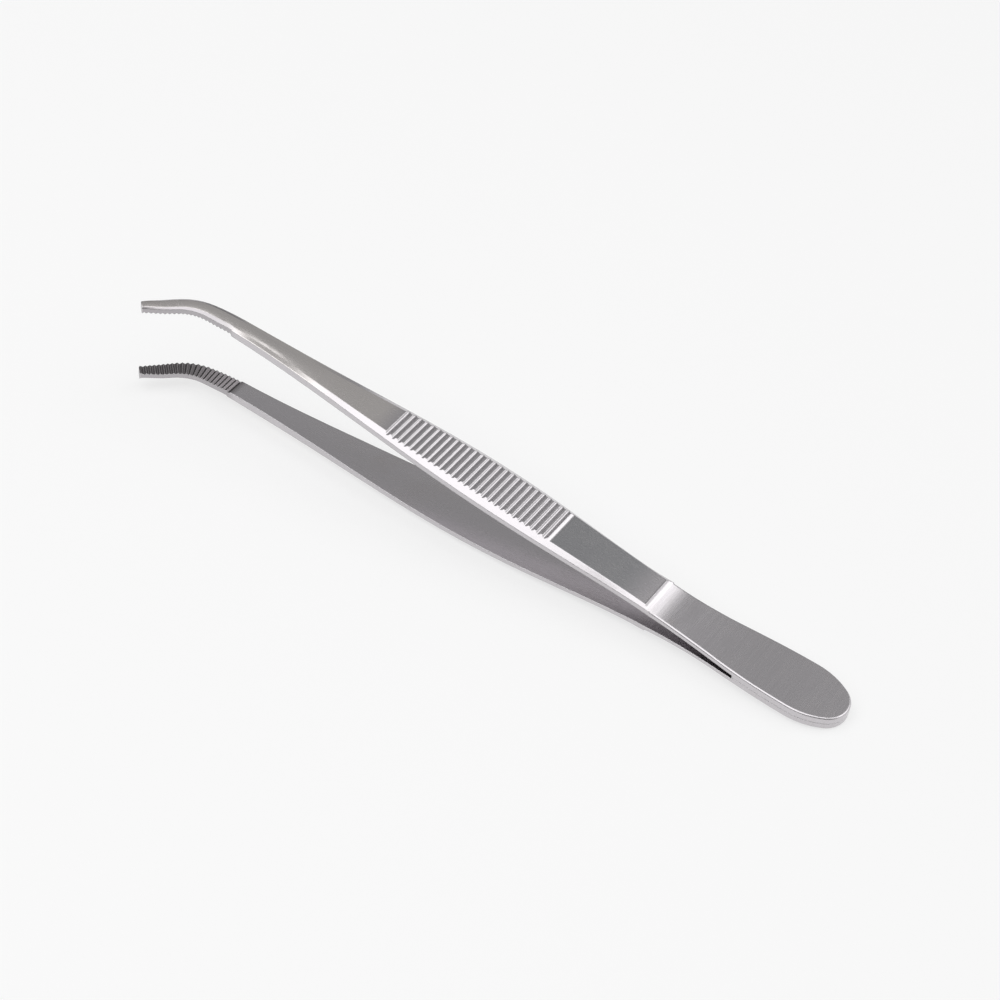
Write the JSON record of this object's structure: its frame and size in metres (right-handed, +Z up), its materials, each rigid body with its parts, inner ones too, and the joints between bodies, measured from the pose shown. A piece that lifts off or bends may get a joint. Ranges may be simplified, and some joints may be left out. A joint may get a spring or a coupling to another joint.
{
  "type": "curved dressing forceps (thumb forceps)",
  "caption": "Curved dressing forceps: two welded spring-steel arms with ribbed grips and cross-serrated curved jaws.",
  "frame": {"origin": "on the surface the forceps lie on, under the middle of their box", "axes": "+X from the butt of the head towards the jaw tips, +Y the way the jaws curve, +Z up from the surface"},
  "size_m": [0.141, 0.0136, 0.0201],
  "materials": {
    "steel": "satin stainless steel, finely brushed"
  },
  "bodies": {
    "root": {"upper_arm": "steel", "lower_arm": "steel"}
  },
  "joints": []
}
